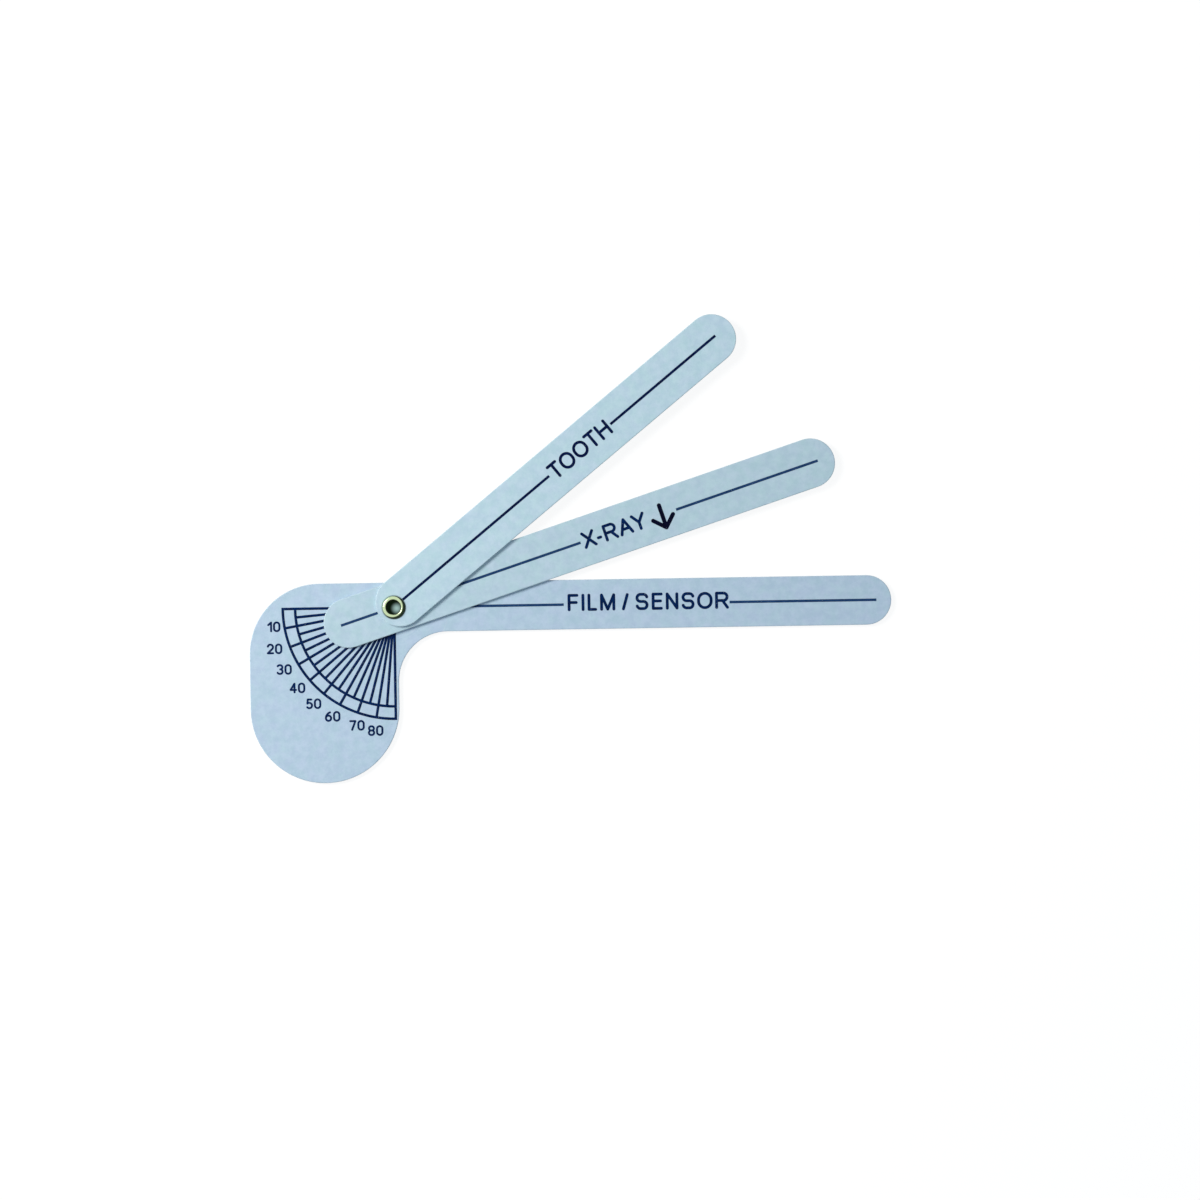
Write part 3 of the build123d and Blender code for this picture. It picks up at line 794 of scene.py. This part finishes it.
printer, sizes, scale_values = new_shaper("scale_printer", SIZES)
index = add(printer, "GeometryNodeInputIndex").outputs[0]
spokes = add(printer, "GeometryNodePoints", {"Count": sizes["Rays"]}).outputs[0]
turn = vector_of(printer, Z=calc(printer, "MULTIPLY", index, sizes["Step"]))
odd = calc(printer, "MODULO", index, 2.0)
even = calc(printer, "SUBTRACT", 1.0, odd)
outer_end = calc(printer, "MULTIPLY_ADD", sizes["Line Width"], 0.5, sizes["Outer Arc"])
long_ray = ray_line(printer, sizes["First Radius"], outer_end)
short_ray = ray_line(printer, sizes["First Radius"], sizes["Inner Arc"])
drawing = add(printer, "GeometryNodeJoinGeometry")
for shape in (
    copied_round(printer, spokes, even, long_ray, turn),
    copied_round(printer, spokes, odd, short_ray, turn),
    quarter_arc(printer, sizes["Inner Arc"]),
    quarter_arc(printer, sizes["Outer Arc"]),
):
    printer.links.new(shape, drawing.inputs[0])
print("drawing:", len(drawing.inputs[0].links), "sets of lines")

# %% [markdown]
# The second half prints: lines and arcs get the same flat section of ink, their edges wander by a few
# hundredths of a millimetre, as printed edges do, and all is joined into one closed skin, so that crossings
# don't lie double.

# %% Printed scale: ink
flat_drawing = add(printer, "GeometryNodeRealizeInstances", {"Geometry": drawing.outputs[0]}).outputs[0]
level_drawing = add(printer, "GeometryNodeSetCurveNormal", {"Curve": flat_drawing}, mode="Z_UP").outputs[0]
section_size = {"Width": sizes["Line Width"], "Height": sizes["Ink Thickness"]}
section = add(printer, "GeometryNodeCurvePrimitiveQuadrilateral", section_size).outputs[0]
sweep = {"Curve": level_drawing, "Profile Curve": section, "Fill Caps": True}
inked = add(printer, "GeometryNodeCurveToMesh", sweep).outputs[0]

position = add(printer, "GeometryNodeInputPosition").outputs[0]
wander_place = seeded(printer, in_mm(printer, position), sizes["Seed"])
wander_noise = {"Vector": wander_place, "Scale": WANDER_PER_MM, "Detail": 1.0}
wander = add(printer, "ShaderNodeTexNoise", wander_noise).outputs["Color"]
centred = vec(printer, "SUBTRACT", wander, (0.5, 0.5, 0.5))
shift = scaled(printer, flattened(printer, centred), sizes["Edge Wander"])
ragged = add(printer, "GeometryNodeSetPosition", {"Geometry": inked, "Offset": shift}).outputs[0]
middle_height = calc(printer, "MULTIPLY_ADD", sizes["Ink Thickness"], 0.5, sizes["Ink Bottom"])
lift = vector_of(printer, Z=middle_height)
placed = add(printer, "GeometryNodeTransform", {"Geometry": ragged, "Translation": lift}).outputs[0]
skin = {"Mesh 2": placed, "Self Intersection": True}
joined = add(printer, "GeometryNodeMeshBoolean", skin, operation="UNION", solver="EXACT").outputs[0]
close_shaper(printer, joined, sizes["Ink"])

# %% [markdown]
# A modifier runs the tree on a start mesh. Its result is then kept as a plain mesh, because the pieces that
# are handed over carry no live modifiers. The new scale stands for the CAD's, and stays on the plate.

# %% Run the scale tree
def grown(name, tree, values, start=None):
    """A plain mesh object made by running a tree with these inputs on a start mesh."""
    seedling = bpy.data.objects.new(name + "_start", start or bpy.data.meshes.new(name + "_start"))
    bpy.context.scene.collection.objects.link(seedling)
    modifier = seedling.modifiers.new("grow", "NODES")
    modifier.node_group = tree
    for identifier, value in values.items():
        modifier[identifier] = value
    depsgraph = bpy.context.evaluated_depsgraph_get()
    mesh = bpy.data.meshes.new_from_object(seedling.evaluated_get(depsgraph))
    bpy.data.objects.remove(seedling)
    mesh.name = name
    piece = bpy.data.objects.new(name, mesh)
    bpy.context.scene.collection.objects.link(piece)
    return piece


scale_print = grown("scale_print", printer, scale_values)
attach(scale_print, "film_plate")
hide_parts("scale_graduations")
print("scale:", len(scale_print.data.polygons), "faces,", len(scale_print.data.vertices), "points")

# %% [markdown]
# The eyelet is a brass tube with a rolled rim at each end, and it is both the rivet and the axle of the tool.
# It is a turned shape: one closed profile, carried round the axis. The profile runs over the front roll, down
# the bore, round the smaller rear roll, and back up inside the metal. The setting tool leaves the top of the
# front roll a little flat. All six stretches are straight lines and arcs, worked out from the bore, the two
# rims and the wall.

# %% Eyelet: profile
BRASS_WALL = 0.25 * MM
REAR_RADIUS = 2.70 * MM
TOOL_FLAT = 0.05 * MM

flange_radius = eyelet_box[1].x
front_roll = (flange_radius - BORE_RADIUS) / 2
rear_roll = (REAR_RADIUS - BORE_RADIUS) / 2
front_middle = BORE_RADIUS + front_roll
rear_middle = BORE_RADIUS + rear_roll
crown = FLANGE_HEIGHT + front_roll


def roll_arc(middle_radius, height, radius, first, last, count):
    """Points (radius, height) along a round roll, between two angles in degrees."""
    angles = [radians(first + (last - first) * i / (count - 1)) for i in range(count)]
    return [(middle_radius + radius * cos(a), height + radius * sin(a)) for a in angles]


def tube_wall(radius, bottom, top, count):
    """Points along the tube's wall, without its ends."""
    return [(radius, bottom + (top - bottom) * i / (count + 1)) for i in range(1, count + 1)]


def pressed(height):
    """The height under the setting tool, which flattens the outside of the front roll."""
    return min(height, crown - TOOL_FLAT) if height > crown - BRASS_WALL else height


profile = roll_arc(front_middle, FLANGE_HEIGHT, front_roll, -3, 180, 34)
profile += tube_wall(BORE_RADIUS, FLANGE_HEIGHT, 0, 6)
profile += roll_arc(rear_middle, 0, rear_roll, 180, 360, 26)
profile += roll_arc(rear_middle, 0, rear_roll - BRASS_WALL, 360, 180, 14)
profile += tube_wall(BORE_RADIUS + BRASS_WALL, 0, FLANGE_HEIGHT, 6)
profile += roll_arc(front_middle, FLANGE_HEIGHT, front_roll - BRASS_WALL, 180, 0, 20)
profile = [(r, pressed(z)) for r, z in profile]
print("eyelet:", len(profile), "points in the profile")

# %% [markdown]
# The profile is carried round the axis in even steps, and each step is joined to the next, so the ring closes
# on itself and has no seam. A signed volume below zero would mean that its faces look inwards, and then they
# are all turned round.

# %% Eyelet: turning
TURNING_STEPS = 144


def turned_ring(name, outline, steps):
    """A closed ring made by carrying a closed outline of (radius, height) points round the z axis."""
    points = []
    for step in range(steps):
        angle = 2 * pi * step / steps
        points += [(r * cos(angle), r * sin(angle), z) for r, z in outline]
    count = len(outline)
    faces = []
    for step in range(steps):
        here, there = step * count, (step + 1) % steps * count
        for i in range(count):
            after = (i + 1) % count
            faces.append((here + i, there + i, there + after, here + after))
    mesh = bpy.data.meshes.new(name)
    mesh.from_pydata(points, [], faces)
    return mesh


ring = turned_ring("eyelet_turning", profile, TURNING_STEPS)
shell = bmesh.new()
shell.from_mesh(ring)
if shell.calc_volume(signed=True) < 0:
    bmesh.ops.reverse_faces(shell, faces=shell.faces)
brass_volume = shell.calc_volume(signed=True)
shell.to_mesh(ring)
shell.free()
print(f"eyelet: {len(ring.polygons)} faces, {brass_volume / MM**3:.1f} cubic mm of brass")

# %% [markdown]
# Brass that is handled stays bright on its crown and goes dull and olive in the bore, where no finger
# reaches.
# The flanks get a painted dark reflection, near black, that stands for the dim room they would mirror; the
# height and the slope of the surface tell crown, flank and bore apart, and noise breaks the border. On a
# flank that looks away from the lamp the painted dark begins sooner, as painted shade. The side away from the
# lamp is painted darker as well, so the bright crown sits off the middle: above the sheets, all that lies
# outside a circle about a point towards the lamp is painted shade.

# %% Handled brass: where it is painted dark
LAMPWARD_SHINE = 0.7
SHINE_EDGE = (0.92, 0.72)
SPOTS_PER_MM = 1.6
SPOT_SHIFT = 0.12
SHADE_MIDDLE_MM = (-0.33, 0.19, 0)
LIT_CIRCLE_EDGE_MM = (2.6, 2.82)
ABOVE_SHEETS_MM = (2.0, 2.4)
BORE_EDGE_MM = (1.96, 1.82)
BORE_TOP_MM = (3.1, 2.7)

handled_brass_painted_shade, tree, shader = new_material("handled_brass_painted_shade")
coords = add(tree, "ShaderNodeTexCoord").outputs
direction = coords["Normal"]
place_mm = in_mm(tree, coords["Object"])
level = flattened(tree, place_mm)
reach = vec(tree, "LENGTH", level)
height = axes_of(tree, place_mm)["Z"]
slope = calc(tree, "ABSOLUTE", axes_of(tree, direction)["Z"])
lampward = vec(tree, "DOT_PRODUCT", direction, (cos(LAMP_AZIMUTH), sin(LAMP_AZIMUTH), 0))
spots = noise(tree, place_mm, SPOTS_PER_MM, 4.0, 0.65)
edge_of_shine = calc(tree, "MULTIPLY_ADD", spots, SPOT_SHIFT, slope)
edge_of_shine = calc(tree, "MULTIPLY_ADD", lampward, LAMPWARD_SHINE, edge_of_shine)
# Distance from a point towards the lamp: outside its circle the brass is painted shade.
from_shade_middle = calc(tree, "MULTIPLY_ADD", spots, SPOT_SHIFT, vec(tree, "DISTANCE", level, SHADE_MIDDLE_MM))
painted_far_side = calc(
    tree, "MULTIPLY", ramped(tree, height, *ABOVE_SHEETS_MM), ramped(tree, from_shade_middle, *LIT_CIRCLE_EDGE_MM)
)
# Painted dark: a painted reflection on the flanks, and painted shade on the side away from the lamp.
painted_dark = calc(tree, "MAXIMUM", ramped(tree, edge_of_shine, *SHINE_EDGE), painted_far_side)
in_bore = calc(tree, "MULTIPLY", ramped(tree, reach, *BORE_EDGE_MM), ramped(tree, height, *BORE_TOP_MM))
print("masks of the brass:", len(tree.nodes), "nodes")

# %% [markdown]
# The masks choose among four tones of brass, one of them painted dark, and a painted dark place is rougher
# as well. Fine turning lines run round the rim, read on the distance from the axis and the height, over the
# slow dents of handling.

# %% Material: handled brass with painted shade
BRIGHT_BRASS = (0.68, 0.80, 0.52, 1)
HANDLED_BRASS = (0.46, 0.60, 0.35, 1)
PAINTED_DARK_BRASS = (0.014, 0.026, 0.014, 1)
BORE_BRASS = (0.020, 0.026, 0.014, 1)
TURNING_LINES = 14.0
TURNING_RELIEF = 0.006
DENTS_PER_MM = 2.4
DENT_RELIEF = 0.030

colour = mixed(tree, spots, BRIGHT_BRASS, HANDLED_BRASS)
# The painted dark reflection and shade, near black.
colour = tinted(tree, colour, painted_dark, 0.99, PAINTED_DARK_BRASS)
colour = mixed(tree, in_bore, colour, BORE_BRASS)
rough = calc(tree, "MULTIPLY_ADD", spots, 0.14, 0.16)
rough = calc(tree, "MULTIPLY_ADD", painted_dark, 0.18, rough)
rough = calc(tree, "MULTIPLY_ADD", in_bore, 0.25, rough, clamp=True)
shader.inputs["Metallic"].default_value = 1.0
turning = noise(tree, vector_of(tree, X=reach, Y=height), TURNING_LINES, 2.0, 0.6)
turned_relief = calc(tree, "MULTIPLY", turning, TURNING_RELIEF)
relief = calc(tree, "MULTIPLY_ADD", noise(tree, place_mm, DENTS_PER_MM), DENT_RELIEF, turned_relief)
surfaced(tree, shader, colour, rough, relief)
print("material:", handled_brass_painted_shade.name)

# %% [markdown]
# At the back the tube is curled over by a tool with a few ribs, which leaves small creases in the roll,
# evenly round it. That is a rule round a circle, so Geometry Nodes press them: each point of the rear roll is
# lifted by a narrow pulse of its angle about the axis, more towards the lip, and a seeded noise makes no two
# alike.

# %% Geometry Nodes: creases of the rear roll
PULSE_SHARPNESS = 9.0
BEHIND_SHEETS = -0.02 * MM
CREASES = [
    ("Creases", INTEGER, 8),
    ("Depth", FLOAT, 0.11 * MM),
    ("Inner Radius", FLOAT, rear_middle - 0.1 * MM),
    ("Outer Radius", FLOAT, REAR_RADIUS),
    ("Seed", FLOAT, 5.0),
    ("Brass", MATERIAL, handled_brass_painted_shade),
]

creaser, entry, crease_values = new_shaper("rear_roll_creaser", CREASES, takes_mesh=True)
spot = add(creaser, "GeometryNodeInputPosition").outputs[0]
axes = axes_of(creaser, spot)
level_spot = flattened(creaser, spot)
round_angle = calc(creaser, "ARCTAN2", axes["Y"], axes["X"])
wave = calc(creaser, "COSINE", calc(creaser, "MULTIPLY", round_angle, entry["Creases"]))
pulse = calc(creaser, "POWER", calc(creaser, "MULTIPLY_ADD", wave, 0.5, 0.5), PULSE_SHARPNESS)
reach = vec(creaser, "LENGTH", level_spot)
towards_lip = ramped(creaser, reach, entry["Inner Radius"], entry["Outer Radius"])
heading = vec(creaser, "NORMALIZE", level_spot)
uneven = noise(creaser, seeded(creaser, heading, entry["Seed"]), 2.0, 0.0)
amount = calc(creaser, "MULTIPLY", calc(creaser, "MULTIPLY", pulse, towards_lip), entry["Depth"])
amount = calc(creaser, "MULTIPLY", amount, calc(creaser, "MULTIPLY_ADD", uneven, 1.6, 0.2))
lift = vector_of(creaser, Z=amount)
height_test = {0: axes["Z"], 1: BEHIND_SHEETS}
behind = add(creaser, "FunctionNodeCompare", height_test, data_type="FLOAT", operation="LESS_THAN").outputs[0]
moved = {"Geometry": entry["Geometry"], "Selection": behind, "Offset": lift}
creased = add(creaser, "GeometryNodeSetPosition", moved).outputs[0]
close_shaper(creaser, creased, entry["Brass"])

# %% [markdown]
# The tree is run on the turned ring. Its edges sharper than 50 degrees stay sharp, and the rest is shaded
# smooth. The eyelet is clinched to the plate, so it stays with it while the arms turn.

# %% Run the eyelet tree
SHARP_FROM = radians(50)

rolled_eyelet = grown("rolled_eyelet", creaser, crease_values, ring)
rolled_eyelet.data.shade_smooth()
rolled_eyelet.data.set_sharp_from_angle(angle=SHARP_FROM)
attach(rolled_eyelet, "film_plate")
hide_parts("pivot_eyelet")
print("eyelet:", len(rolled_eyelet.data.polygons), "faces")
